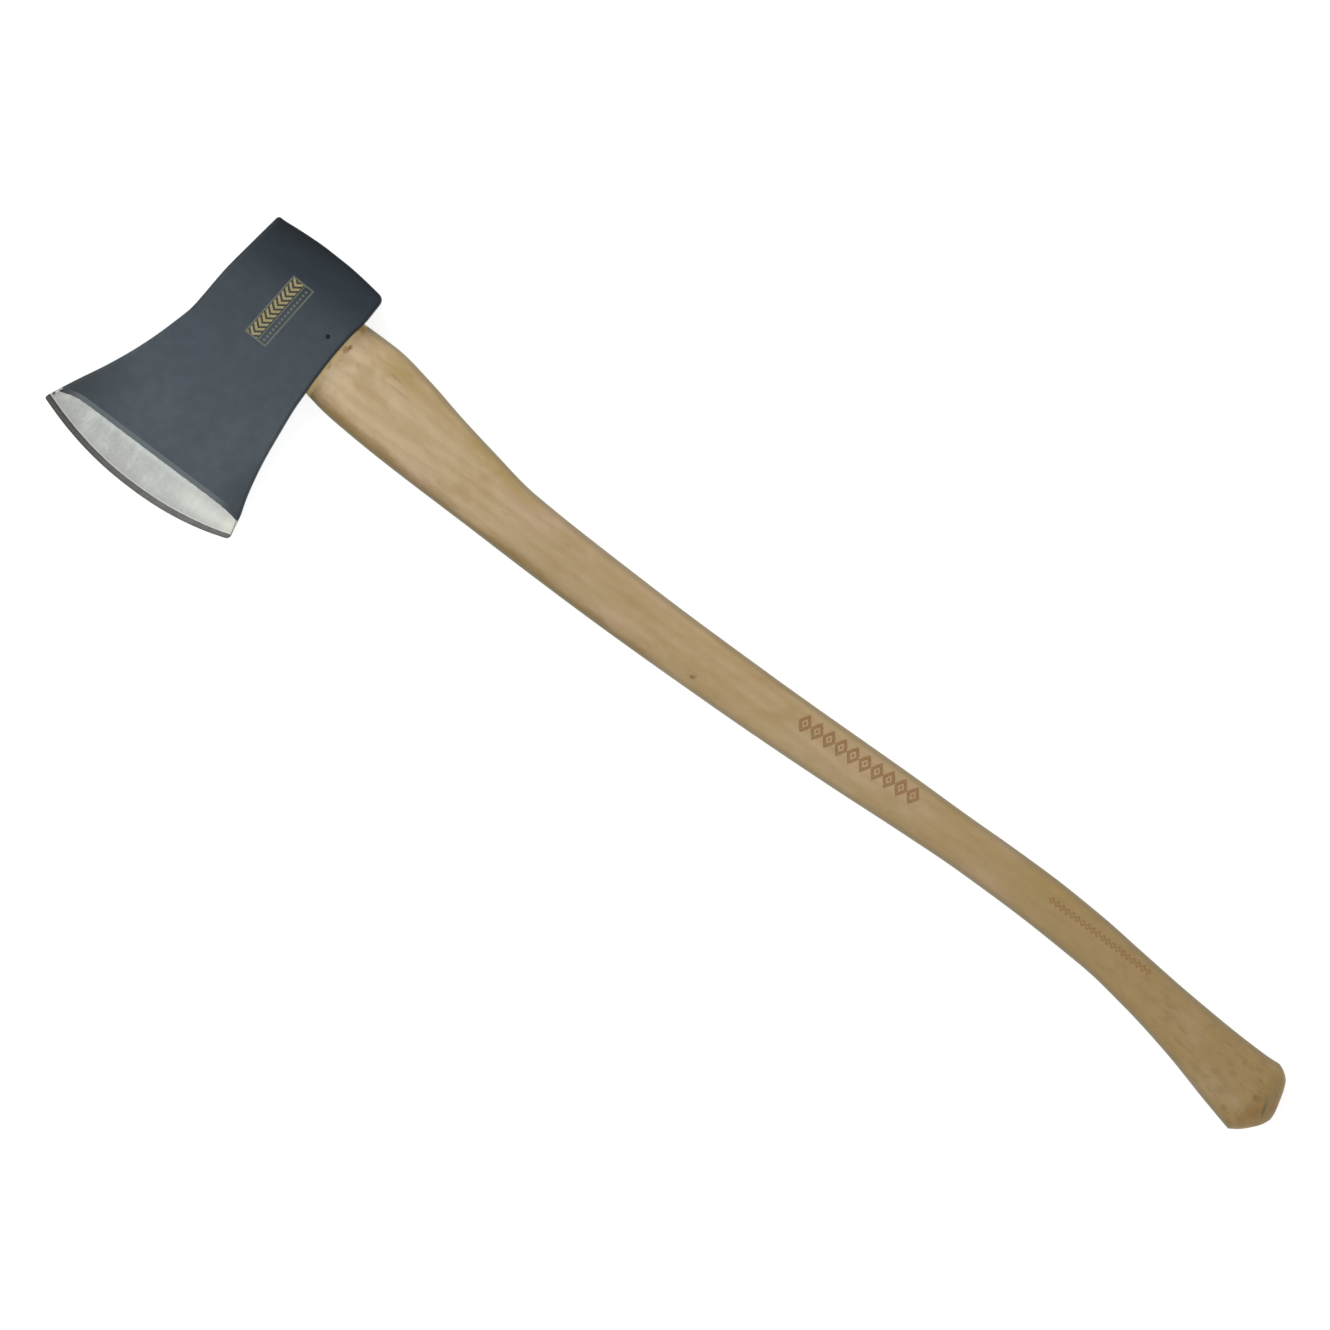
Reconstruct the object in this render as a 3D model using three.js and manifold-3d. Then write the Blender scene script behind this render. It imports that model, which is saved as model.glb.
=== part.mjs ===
// A felling axe: a drop-forged single-bit head on a curved hickory handle. The handle's tenon fills the
// tapered eye, a wooden wedge spreads it there, two steel wedges lock the wooden one, and a cross pin
// stops the head from creeping.
//
// Millimetres. X runs up the eye, from the handle's foot to the top of the head. Y runs from the poll to
// the cutting edge. Z is up, out of the upper cheek. The origin is at the middle of the whole outline,
// level with the flat of the lower cheek.
//
// Shapes are worked out with x = 0 at the head's underside and z = 0 at the middle of its thickness, and
// the whole group is moved to the origin at the end.
import * as THREE from "three";
import { mergeVertices } from "three/addons/utils/BufferGeometryUtils.js";
import Module from "manifold-3d";

const wasm = await Module();
wasm.setup();

// ---------------------------------------------------------------- driving dimensions

const FIT_GAP = 0.3; // between pieces that are driven tight into each other

// Head
const EYE_HALF_LENGTH = 30;
const EYE_HALF_WIDTH = { underside: 11, top: 13 }; // the eye flares upwards, so that the wedges lock it
const EYE_ROUNDNESS = 2.3; // exponent of the eye's oval: 2 is an ellipse
const EYE_DEPTH = 95; // from underside to top, beside the middle of the eye
const CHEEK_HALF = 17.5; // half the head's thickness, over the eye
const CHEEK_CORNER = 2.5; // radius where a cheek meets the top or the underside
const POLL_CORNER = 2.5; // radius round the striking face
const POLL_LOWER_CORNER = 3.5; // the lower corner of the poll is rounded more, seen from the side
const POLL_Y = -54.2;
const POLL_BOW = 3; // how far the poll's middle stands out past its corners
const POLL_MIDDLE = 0.47; // where it stands out most, as a share of the head's height
const POLL_FLAT_HALF = 0.14; // half the flat there, as a share of the head's height
const BEVEL_Y = { heel: 123.5, toe: 127.5 }; // where the ground bevel begins
const EDGE_Y = 152.8; // the middle of the cutting edge
const HEEL_Y = 139; // the edge's two ends
const TOE_Y = 141;
const EDGE_HALF = 0.2; // half the thickness left at the very edge
const HONED_WIDTH = 3.3; // the steeper honed strip along the edge
const HONED_HALF = 1.1; // half the thickness where it begins

// Handle
const FOOT_X = -784.5; // the rim of the foot, where its domed end begins
const FOOT_DOME = 18.6; // how far the dome stands out past the rim
const FOOT_APEX_Y = 8.7;
const HANDLE_ROUNDNESS = 2.25;
const HANDLE_SIDES = 28; // of every section of the handle, and of the eye
const HANDLE_STEP = { ends: 9, middle: 17 }; // between sections, closer together at both ends
const SHOULDER = { x: -1.2, halfLength: 30.3, halfWidth: 12.4 }; // where the handle meets the head
const TENON_RECESS = 1; // the sawn end of the tenon lies this far inside the head's top

// Wedges and pin
const WOODEN_WEDGE = { width: 56, depth: 62, topThick: 8.4, bottomThick: 2.4, y: 0, turnDeg: 0 };
const STEEL_WEDGE = { width: 19, depth: 30, topThick: 3.2, bottomThick: 1 };
const FRONT_WEDGE = { ...STEEL_WEDGE, y: 13, turnDeg: 114 }; // both cross the wooden wedge at a slant
const REAR_WEDGE = { ...STEEL_WEDGE, y: -13, turnDeg: 66 };
const PIN = { x: 13.4, y: -8.4, radius: 2, recess: 1.2, length: 30 };
const PIN_SIDES = 20;

// Outlines, as [position, value] pairs that a smooth curve goes through.
const UNDERSIDE_X = curve([
  [-60, -0.7], [-24, -0.7], [34, 1.4], [42, 0.9], [60, -1.4], [84, -5.2], [108, -10.9], [126, -16.1],
  [141, -19.2],
]);
const TOP_X = curve([
  [-60, 88.6], [-50, 89.8], [-24, 92.9], [0, 95.3], [30, 97], [48, 100.7], [72, 107.7], [96, 116.5],
  [120, 128.2], [141, 137.4],
]);
const HALF_THICKNESS = curve([
  [-55, 13], [-45, 14.5], [-30, 16.6], [-14, CHEEK_HALF], [14, CHEEK_HALF], [30, 15.9], [45, 13.2],
  [60, 10.8], [80, 8.2], [100, 6.3], [125, 4.3],
]);
const CHEEK_CROWN = curve([[-60, 0], [20, 0], [60, 0.5], [100, 1.3], [125, 1.7]]); // middle over ends
const HANDLE_BACK_Y = curve([
  [FOOT_X, -24.2], [-776, -23.1], [-750, -22.6], [-710, -23.4], [-670, -25.4], [-630, -27.6], [-600, -28.1],
  [-560, -26.6], [-480, -22.5], [-360, -16.2], [-260, -12.5], [-190, -11.5], [-160, -12.5], [-120, -17.4],
  [-60, -27.1], [-28, -31.1], [SHOULDER.x, -SHOULDER.halfLength],
]);
const HANDLE_BELLY_Y = curve([
  [FOOT_X, 30.9], [-760, 25.9], [-720, 17.3], [-680, 10.8], [-640, 7.3], [-600, 6.6], [-540, 8.6],
  [-440, 17.1], [-340, 24.9], [-240, 30], [-140, 32.6], [-60, 34.1], [-28, 33.5], [-10, 32],
  [SHOULDER.x, SHOULDER.halfLength],
]);
const HANDLE_HALF_WIDTH = curve([
  [FOOT_X, 14.5], [-740, 14.2], [-680, 12.7], [-600, 11.8], [-400, 12.2], [-200, 12.9], [-60, 13.6],
  [SHOULDER.x, SHOULDER.halfWidth],
]);
// The foot's dome, as the share of its height left at a share of the way from its apex to its rim.
const FOOT_BACK = curve([[0, 1], [0.29, 0.9], [0.79, 0.58], [0.94, 0.28], [1, 0]]);
const FOOT_BELLY = curve([[0, 1], [0.24, 0.91], [0.77, 0.4], [1, 0]]);

// ---------------------------------------------------------------- small tools

// A smooth curve through [position, value] pairs, flat beyond its ends and never overshooting them.
function curve(pairs) {
  const slopes = pairs.slice(1).map(([p, v], i) => (v - pairs[i][1]) / (p - pairs[i][0]));
  const tangents = pairs.map((_, i) => {
    if (i === 0) return slopes[0];
    if (i === pairs.length - 1) return slopes[i - 1];
    const [before, after] = [slopes[i - 1], slopes[i]];
    return before * after <= 0 ? 0 : (2 * before * after) / (before + after);
  });
  return (at) => {
    const p = THREE.MathUtils.clamp(at, pairs[0][0], pairs.at(-1)[0]);
    const i = Math.min(pairs.findIndex(([q]) => q >= p), pairs.length - 1) || 1;
    const width = pairs[i][0] - pairs[i - 1][0];
    const t = (p - pairs[i - 1][0]) / width;
    const [h00, h10] = [(1 + 2 * t) * (1 - t) ** 2, t * (1 - t) ** 2];
    const [h01, h11] = [t * t * (3 - 2 * t), t * t * (t - 1)];
    return (
      h00 * pairs[i - 1][1] + h10 * width * tangents[i - 1] + h01 * pairs[i][1] + h11 * width * tangents[i]
    );
  };
}

// A point of the oval |y/a|^n + |z/b|^n = 1, at an angle that runs round it evenly.
function oval(a, b, n, angle) {
  const [c, s] = [Math.cos(angle), Math.sin(angle)];
  return [a * Math.sign(c) * Math.abs(c) ** (2 / n), b * Math.sign(s) * Math.abs(s) ** (2 / n)];
}

// Collects quads and triangles, given as corners in order round their outer face.
class Shell {
  positions = [];

  face(...corners) {
    for (let i = 1; i + 1 < corners.length; i++) {
      for (const p of [corners[0], corners[i], corners[i + 1]]) this.positions.push(...p);
    }
  }

  // The band between two closed rings of the same number of points.
  band(ring, next) {
    ring.forEach((p, i) => {
      const j = (i + 1) % ring.length;
      this.face(p, ring[j], next[j], next[i]);
    });
  }

  // A closed ring's cap, as a fan round a point.
  fan(ring, centre) {
    ring.forEach((p, i) => this.face(centre, ring[(i + 1) % ring.length], p));
  }

  solid() {
    const bare = new THREE.BufferGeometry();
    bare.setAttribute("position", new THREE.Float32BufferAttribute(this.positions, 3));
    return solidOf(bare);
  }
}

// A closed three.js geometry as a manifold-3d solid.
function solidOf(geometry) {
  const bare = geometry.clone();
  bare.deleteAttribute("normal");
  bare.deleteAttribute("uv");
  const merged = mergeVertices(bare, 1e-3);
  return new wasm.Manifold(
    new wasm.Mesh({
      numProp: 3,
      vertProperties: merged.attributes.position.array,
      triVerts: new Uint32Array(merged.index.array),
    }),
  );
}

function geometryOf(solid) {
  const { vertProperties, triVerts } = solid.getMesh();
  const geometry = new THREE.BufferGeometry();
  geometry.setAttribute("position", new THREE.BufferAttribute(vertProperties, 3));
  geometry.setIndex(new THREE.BufferAttribute(triVerts, 1));
  geometry.computeVertexNormals();
  return geometry;
}

// A tapered bar that stands along X: its section is width along Y, and topThick or bottomThick along Z.
function taperedBar(topX, depth, width, topThick, bottomThick) {
  const side = new THREE.Shape([
    new THREE.Vector2(topX, topThick / 2),
    new THREE.Vector2(topX - depth, bottomThick / 2),
    new THREE.Vector2(topX - depth, -bottomThick / 2),
    new THREE.Vector2(topX, -topThick / 2),
  ]);
  const bar = new THREE.ExtrudeGeometry(side, { depth: width, bevelEnabled: false });
  bar.translate(0, 0, -width / 2);
  bar.rotateX(Math.PI / 2);
  return bar;
}

// ---------------------------------------------------------------- head

// Half the eye's width at a height above the underside.
const eyeHalfWidth = (x) =>
  THREE.MathUtils.lerp(EYE_HALF_WIDTH.underside, EYE_HALF_WIDTH.top, x / EYE_DEPTH);

// How a bowed section stands out along the head's height, from 0 at both ends to 1 in the middle.
const roundBulge = (share) => 4 * share * (1 - share);
const pollBulge = (share) => {
  const past = Math.max(0, Math.abs(share - POLL_MIDDLE) - POLL_FLAT_HALF);
  return 1 - (past / (0.5 - POLL_FLAT_HALF)) ** 2;
};

// One cross-section of the head at a station, as the points of its upper half: from the underside's middle
// round over the upper cheek to the top's middle. eye is the angle round the eye's oval, or null beside it.
function headSection(station) {
  const { y, yTop = y, bow = 0, bulge = roundBulge, half = HALF_THICKNESS(y), eye = null } = station;
  const { crown = CHEEK_CROWN(y), lift = { low: 0, high: 0 } } = station;
  const low = UNDERSIDE_X(y) + lift.low;
  const high = TOP_X(yTop) - lift.high;
  const corner = Math.min(CHEEK_CORNER, half * 0.6);
  const endHalf = half - crown;
  const at = (x, z) => {
    const share = (x - low) / (high - low);
    return [x, THREE.MathUtils.lerp(y, yTop, share) + bow * bulge(share), z];
  };
  const cheek = [0.14, 0.24, 0.34, 0.47, 0.6, 0.73, 0.86].map((share) =>
    at(THREE.MathUtils.lerp(low, high, share), endHalf + crown * roundBulge(share)),
  );
  const turn = corner * (1 - Math.SQRT1_2);
  const inner = (x) => (eye === null ? 0 : oval(1, eyeHalfWidth(x), EYE_ROUNDNESS, eye)[1]);
  return [
    at(low, inner(low)),
    at(low, endHalf - corner),
    at(low + turn, endHalf - turn),
    at(low + corner, endHalf),
    ...cheek,
    at(high - corner, endHalf),
    at(high - turn, endHalf - turn),
    at(high, endHalf - corner),
    at(high, inner(high)),
  ];
}

// The stations from poll to edge. The first three round the striking face's rim, and the last three make
// the ground bevel, the honed strip and the edge.
function headStations() {
  const face = POLL_Y + POLL_BOW;
  const polls = [
    { y: face, bow: -POLL_BOW, inset: 1 },
    { y: face + POLL_CORNER * 0.29, bow: -POLL_BOW, inset: 0.29 },
    { y: face + POLL_CORNER, bow: -POLL_BOW * 0.8, inset: 0 },
  ].map(({ y, bow, inset }) => ({
    y,
    bow,
    bulge: pollBulge,
    half: HALF_THICKNESS(y) - POLL_CORNER * inset,
    lift: { low: POLL_LOWER_CORNER * inset, high: POLL_CORNER * inset },
  }));
  const eyeSteps = HANDLE_SIDES / 2;
  const eyes = Array.from({ length: eyeSteps + 1 }, (_, i) => {
    const angle = Math.PI * (1 - i / eyeSteps);
    return { y: oval(EYE_HALF_LENGTH, 1, EYE_ROUNDNESS, angle)[0], eye: angle };
  });
  const bit = [38, 47, 58, 70, 82, 94, 106, 116].map((y) => ({ y }));
  const bow = EDGE_Y - (HEEL_Y + TOE_Y) / 2;
  const edges = [
    { y: BEVEL_Y.heel, yTop: BEVEL_Y.toe },
    { y: HEEL_Y - HONED_WIDTH, yTop: TOE_Y - HONED_WIDTH, bow, half: HONED_HALF, crown: 0 },
    { y: HEEL_Y, yTop: TOE_Y, bow, half: EDGE_HALF, crown: 0, lift: { low: 0.5, high: 0.5 } },
  ];
  return [...polls, { y: -45, bow: -1, bulge: pollBulge }, { y: -37 }, ...eyes, ...bit, ...edges];
}

function makeHead() {
  const shell = new Shell();
  const stations = headStations();
  const mirrored = (points) => points.map(([x, y, z]) => [x, y, -z]);
  const uppers = stations.map(headSection);
  const lowers = uppers.map(mirrored);
  const last = uppers[0].length - 1;
  uppers.forEach((upper, i) => {
    const [next, lower, nextLower] = [uppers[i + 1], lowers[i], lowers[i + 1]];
    if (!next) return;
    for (let j = 0; j < last; j++) {
      shell.face(upper[j], upper[j + 1], next[j + 1], next[j]);
      shell.face(lower[j + 1], lower[j], nextLower[j], nextLower[j + 1]);
    }
    if (stations[i].eye !== undefined && stations[i + 1].eye !== undefined) {
      shell.face(upper[last], upper[0], next[0], next[last]);
      shell.face(lower[0], lower[last], nextLower[last], nextLower[0]);
    }
  });
  const close = (upper, lower, outwards) => {
    for (let j = 0; j < last; j++) {
      const corners = [upper[j], lower[j], lower[j + 1], upper[j + 1]];
      shell.face(...(outwards ? corners : corners.reverse()));
    }
  };
  close(uppers[0], lowers[0], true);
  close(uppers.at(-1), lowers.at(-1), false);
  return shell.solid();
}

// ---------------------------------------------------------------- handle

// A closed oval ring across the handle at x.
function ovalRing(x, middle, halfLength, halfWidth, roundness) {
  return Array.from({ length: HANDLE_SIDES }, (_, i) => {
    const [y, z] = oval(halfLength, halfWidth, roundness, (2 * Math.PI * i) / HANDLE_SIDES);
    return [x, middle + y, z];
  });
}

function handleRing(x) {
  const [back, belly] = [HANDLE_BACK_Y(x), HANDLE_BELLY_Y(x)];
  return ovalRing(x, (back + belly) / 2, (belly - back) / 2, HANDLE_HALF_WIDTH(x), HANDLE_ROUNDNESS);
}

function tenonRing(x) {
  return ovalRing(x, 0, EYE_HALF_LENGTH - FIT_GAP, eyeHalfWidth(x) - FIT_GAP, EYE_ROUNDNESS);
}

// The foot's domed end: rings that shrink towards the apex. Its back is full, and its belly cut away.
function footRings() {
  const rim = handleRing(FOOT_X);
  return [0.1, 0.29, 0.48, 0.66, 0.79, 0.88, 0.95].map((share) =>
    rim.map(([, y, z], i) => {
      const towardsBelly = (1 + Math.cos((2 * Math.PI * i) / HANDLE_SIDES)) / 2;
      const height = THREE.MathUtils.lerp(FOOT_BACK(share), FOOT_BELLY(share), towardsBelly);
      return [FOOT_X - FOOT_DOME * height, THREE.MathUtils.lerp(FOOT_APEX_Y, y, share), z * share];
    }),
  );
}

// Where the handle's sections are taken, from the foot's rim to the shoulder.
function handleStations() {
  const stations = [];
  for (let x = FOOT_X; x < SHOULDER.x - HANDLE_STEP.ends / 2; ) {
    stations.push(x);
    const nearAnEnd = x < FOOT_X + 45 || x > SHOULDER.x - 80;
    x += nearAnEnd ? HANDLE_STEP.ends : HANDLE_STEP.middle;
  }
  return [...stations, SHOULDER.x];
}

function makeHandleBlank() {
  const shell = new Shell();
  const tenonTop = TOP_X(EYE_HALF_LENGTH) + 2; // left long, and sawn off later
  const rings = [
    ...footRings(),
    ...handleStations().map(handleRing),
    ...[SHOULDER.x + 0.1, EYE_DEPTH / 3, (2 * EYE_DEPTH) / 3, tenonTop].map(tenonRing),
  ];
  rings.slice(1).forEach((next, i) => shell.band(rings[i], next));
  shell.fan(rings[0], [FOOT_X - FOOT_DOME, FOOT_APEX_Y, 0]);
  shell.fan([...rings.at(-1)].reverse(), [tenonTop, 0, 0]);
  return shell.solid();
}

// ---------------------------------------------------------------- what is driven into the eye

const topBehindEye = TOP_X(-EYE_HALF_LENGTH);
const topBeforeEye = TOP_X(EYE_HALF_LENGTH);
const sawnX = (topBehindEye + topBeforeEye) / 2 - TENON_RECESS;

// Everything past the sawn end of the tenon, which is cut parallel to the head's top, with the wedges.
function pastSawnEnd() {
  const slope = Math.atan2(topBeforeEye - topBehindEye, 2 * EYE_HALF_LENGTH);
  const side = 4 * EYE_HALF_LENGTH;
  const block = new THREE.BoxGeometry(side, side, side);
  block.translate(side / 2, 0, 0);
  block.rotateZ(-slope);
  block.translate(sawnX, 0, 0);
  return solidOf(block);
}

// The space of a driven wedge, grown by a gap all round. It runs on past the sawn end of the tenon.
function wedgeSpace({ width, depth, topThick, bottomThick, y, turnDeg }, gap) {
  const over = 8;
  const slope = (topThick - bottomThick) / depth;
  const top = topThick + slope * over + 2 * gap;
  const bar = taperedBar(over, over + depth + gap, width + 2 * gap, top, bottomThick + 2 * gap);
  bar.rotateX(THREE.MathUtils.degToRad(turnDeg));
  bar.translate(sawnX, y, 0);
  return solidOf(bar);
}

function pin(gap) {
  const top = CHEEK_HALF - PIN.recess;
  const above = gap ? PIN.recess + 2 : 0; // its hole runs out through the upper cheek
  const length = PIN.length + above + gap;
  const rod = new THREE.CylinderGeometry(PIN.radius + gap, PIN.radius + gap, length, PIN_SIDES);
  rod.rotateX(Math.PI / 2);
  rod.translate(PIN.x, PIN.y, top + above - length / 2);
  return solidOf(rod);
}

// ---------------------------------------------------------------- the pieces

const sawnOff = pastSawnEnd();
const kerf = wedgeSpace({ ...WOODEN_WEDGE, width: 2 * EYE_HALF_LENGTH + 4 }, FIT_GAP); // open at both sides
const steelSlots = wedgeSpace(FRONT_WEDGE, FIT_GAP).add(wedgeSpace(REAR_WEDGE, FIT_GAP));
const head = makeHead().subtract(pin(FIT_GAP));
const handle = makeHandleBlank()
  .subtract(sawnOff)
  .subtract(kerf)
  .subtract(steelSlots)
  .subtract(pin(FIT_GAP));
const woodenWedge = wedgeSpace(WOODEN_WEDGE, 0).subtract(sawnOff).subtract(steelSlots);
const frontWedge = wedgeSpace(FRONT_WEDGE, 0).subtract(sawnOff);
const rearWedge = wedgeSpace(REAR_WEDGE, 0).subtract(sawnOff);

const paintedSteel = new THREE.MeshStandardMaterial({ color: 0x4a525c, roughness: 0.5, metalness: 0.2 });
const hickory = new THREE.MeshStandardMaterial({ color: 0xb89a6c, roughness: 0.55, metalness: 0 });
const wedgeWood = new THREE.MeshStandardMaterial({ color: 0xcbb088, roughness: 0.7, metalness: 0 });
const bareSteel = new THREE.MeshStandardMaterial({ color: 0x8d9194, roughness: 0.35, metalness: 1 });

function piece(name, solid, material) {
  const mesh = new THREE.Mesh(geometryOf(solid), material);
  mesh.name = name;
  return mesh;
}

const axe = new THREE.Group();
axe.add(
  piece("axe_head", head, paintedSteel),
  piece("handle", handle, hickory),
  piece("wooden_wedge", woodenWedge, wedgeWood),
  piece("steel_wedge_front", frontWedge, bareSteel),
  piece("steel_wedge_rear", rearWedge, bareSteel),
  piece("cross_pin", pin(0), bareSteel),
);
const outline = new THREE.Box3().setFromObject(axe);
const middle = outline.getCenter(new THREE.Vector3());
axe.position.set(-middle.x, -middle.y, -outline.min.z);

export default axe;
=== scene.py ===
"""The looks of a felling axe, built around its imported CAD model.

Shapes are worked out in millimetres in the eye's own frame: x = 0 at the underside of the head, y from the
middle of the eye towards the cutting edge, z = 0 at the middle of the head's thickness. to_row() turns them
into metres in the row's frame, from where the CAD's pin and head are.
"""

import math

import bmesh
import bpy
import numpy as np
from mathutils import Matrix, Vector


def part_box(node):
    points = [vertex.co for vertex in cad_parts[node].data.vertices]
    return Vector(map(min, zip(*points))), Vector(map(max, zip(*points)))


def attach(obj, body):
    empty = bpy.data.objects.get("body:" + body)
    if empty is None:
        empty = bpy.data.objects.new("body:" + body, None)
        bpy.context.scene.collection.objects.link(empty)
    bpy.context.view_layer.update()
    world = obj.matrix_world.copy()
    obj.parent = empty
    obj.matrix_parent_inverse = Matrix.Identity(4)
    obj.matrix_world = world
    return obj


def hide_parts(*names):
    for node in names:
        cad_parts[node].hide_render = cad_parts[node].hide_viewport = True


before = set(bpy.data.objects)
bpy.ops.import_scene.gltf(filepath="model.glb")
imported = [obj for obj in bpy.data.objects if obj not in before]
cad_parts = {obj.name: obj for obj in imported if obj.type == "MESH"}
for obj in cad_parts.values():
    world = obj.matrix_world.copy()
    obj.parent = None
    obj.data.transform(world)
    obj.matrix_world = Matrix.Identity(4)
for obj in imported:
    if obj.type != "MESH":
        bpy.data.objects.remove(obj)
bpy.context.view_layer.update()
BODY = "root"
MM = 0.001

# ---- driving dimensions, in millimetres

# Head
EYE_HALF_LENGTH = 30
EYE_HALF_WIDTH = {"underside": 11, "top": 13}
EYE_ROUNDNESS = 2.3  # exponent of the eye's oval: 2 is an ellipse
EYE_DEPTH = 95
EYE_RIM = {"underside": 0.25, "top": 1.1}  # how far the eye's rim is rounded
EYE_CLEAR = 2.5  # from the eye to the first section that it doesn't cut
CHEEK_HALF = 17.5
CHEEK_CORNER = 2.5
POLL_ARRIS = 2.5
POLL_CORNERS = {"underside": 5, "top": 2.2}  # its two corners, seen from the side
POLL_FACE_Y = -51.2  # at the corners of the striking face
POLL_STANDS_OUT = 3
POLL_MIDDLE = 0.44  # where the striking face stands out most, as a share of the head's height
POLL_FLAT_HALF = 0.1
POLL_FALL = 0.42  # from the flat to where the bow is gone, as a share of the head's height
GRIND_Y = {"heel": 120.9, "toe": 124.9}  # the crease where the grinding begins, under the paint
SLANT_Y = 60  # from here the sections lean towards the crease
EDGE_Y = 152.7
HEEL_Y = 139.4
TOE_Y = 141.1
EDGE_HALF = 0.13
HONED_WIDTH = 4
HONED_HALF = 1.25
EDGE_CORNERS = {"heel": 4, "toe": 2.2}  # how far the edge's two ends are rounded off
BARE_RIM = {"depth": 1.3, "y": 128.4}  # how deep the top's rim is bare, and from where

# Handle
FOOT_X = -784.5
FOOT_DOME = 18.6
FOOT_APEX_Y = 8.7
HANDLE_ROUNDNESS = 2.25
SHOULDER = {"x": -1.2, "half_length": 30.3, "half_width": 12.4}
SHOULDER_GAP = 0.25  # from the wood to the underside of the head
TENON_GAP = 0.12
TENON_RECESS = 1

# Wedges and pin
KERF_GAP = 0.08
WOODEN_WEDGE = {"width": 57.6, "depth": 62, "top": 8.4, "bottom": 2.4, "y": 0, "turn": 0}
FRONT_WEDGE = {"width": 19, "depth": 30, "top": 3.2, "bottom": 1, "y": 13, "turn": 114}
REAR_WEDGE = {"width": 19, "depth": 30, "top": 3.2, "bottom": 1, "y": -13, "turn": 66}
PIN = {"x": 13.4, "y": -8.4, "radius": 2, "recess": 1.2, "length": 30, "gap": 0.3}
PIN_MOUTH = {"radius": 1.4, "depth": 0.8}  # the paint closes over the rim of the pin's hole


def curve(pairs, soften=3.0):
    """A smooth function through (position, value) pairs that doesn't overshoot, straight past its ends.

    Its bends are rounded off over twice soften, so that gloss runs over them evenly.
    """
    where, values = np.array(pairs, float).T
    slopes = np.diff(values) / np.diff(where)
    before, after = slopes[:-1], slopes[1:]
    total = np.where(before * after > 0, before + after, 1.0)
    middle = np.where(before * after > 0, 2 * before * after / total, 0.0)
    tangents = np.concatenate([slopes[:1], middle, slopes[-1:]])

    def through(at):
        inside = np.clip(at, where[0], where[-1])
        i = np.clip(np.searchsorted(where, inside), 1, len(where) - 1)
        width = where[i] - where[i - 1]
        t = (inside - where[i - 1]) / width
        start = (1 + 2 * t) * (1 - t) ** 2 * values[i - 1] + t * (1 - t) ** 2 * width * tangents[i - 1]
        end = t * t * (3 - 2 * t) * values[i] + t * t * (t - 1) * width * tangents[i]
        return start + end + (at - inside) * np.where(at < where[0], tangents[0], tangents[-1])

    def softened(at):
        at = np.asarray(at, float)
        steps = zip((-1, -0.5, 0, 0.5, 1), (1, 3, 4, 3, 1))
        return sum(weight * through(at + step * soften) for step, weight in steps) / 12

    return softened


UNDERSIDE_X = curve([
    (-60, -0.2), (-34, -0.2), (-20, 1.7), (2, 2.8), (20, 2.5), (34, 1.7), (42, 1.2), (60, -1.1), (84, -4.8),
    (108, -10.5), (126, -16.5), (141, -19.2),
])
TOP_X = curve([
    (-60, 88.4), (-50, 89.6), (-24, 92.7), (0, 95.3), (30, 96.5), (48, 100.3), (72, 107.3), (96, 116.7),
    (120, 128), (141, 137.2),
])
HALF_THICKNESS = curve([
    (-55, 13), (-45, 14.5), (-30, 16.6), (-14, 17.5), (14, 17.5), (30, 15.9), (45, 13.2), (60, 10.8),
    (80, 8.2), (100, 6.3), (125, 4.3),
])
CHEEK_CROWN = curve([(-60, 0), (20, 0), (60, 0.5), (100, 1.3), (125, 1.7)])
POLL_BOW = curve([(POLL_FACE_Y, -POLL_STANDS_OUT), (-48.7, -2.4), (-45, -1.1), (-37, 0), (-30, 0)], soften=1)
HANDLE_BACK_Y = curve([
    (-784.5, -24.2), (-776, -23.1), (-750, -22.6), (-710, -23.4), (-670, -25.4), (-630, -27.6),
    (-600, -28), (-560, -26.7), (-520, -24.4), (-480, -22.6), (-360, -16), (-260, -12.6), (-190, -11.9),
    (-160, -12.4), (-120, -17.4), (-90, -21.9), (-60, -27.4), (-28, -31.2), (-1.2, -30.4),
])
HANDLE_BELLY_Y = curve([
    (-784.5, 31.2), (-760, 26.1), (-720, 17.2), (-680, 10.8), (-640, 7.1), (-600, 6.7), (-540, 8.5),
    (-490, 12.4), (-440, 17.2), (-390, 21.4), (-340, 24.9), (-240, 30.1), (-190, 31.6), (-140, 32.5),
    (-60, 33.9), (-28, 33.3), (-10, 32), (-1.2, 30.3),
])
HANDLE_HALF_WIDTH = curve([
    (-784.5, 14.5), (-740, 14.2), (-680, 12.7), (-600, 11.8), (-400, 12.2), (-200, 12.9), (-60, 13.6),
    (-1.2, 12.4),
])
# The foot's dome, as the share of its height left at a share of the way from its apex to its rim.
FOOT_BACK = curve([(0, 1), (0.14, 0.975), (0.3, 0.905), (0.79, 0.585), (0.94, 0.28), (1, 0)], soften=0.03)
FOOT_BELLY = curve([(0, 1), (0.24, 0.89), (0.58, 0.59), (0.85, 0.265), (1, 0)], soften=0.03)

# ---- from the eye's frame to the row's

pin_low, pin_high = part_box("cross_pin")
head_low, head_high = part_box("axe_head")
EYE_ORIGIN = Vector((
    (pin_low.x + pin_high.x) / 2 - PIN["x"] * MM,
    (pin_low.y + pin_high.y) / 2 - PIN["y"] * MM,
    (head_low.z + head_high.z) / 2,
))


def to_row(points):
    return np.asarray(points, float) * MM + np.array(EYE_ORIGIN)


# ---- mesh tools


SHARP = 40  # degrees between two faces, from which their edge stays crisp


def lerp(a, b, t):
    return a + (b - a) * t


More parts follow.
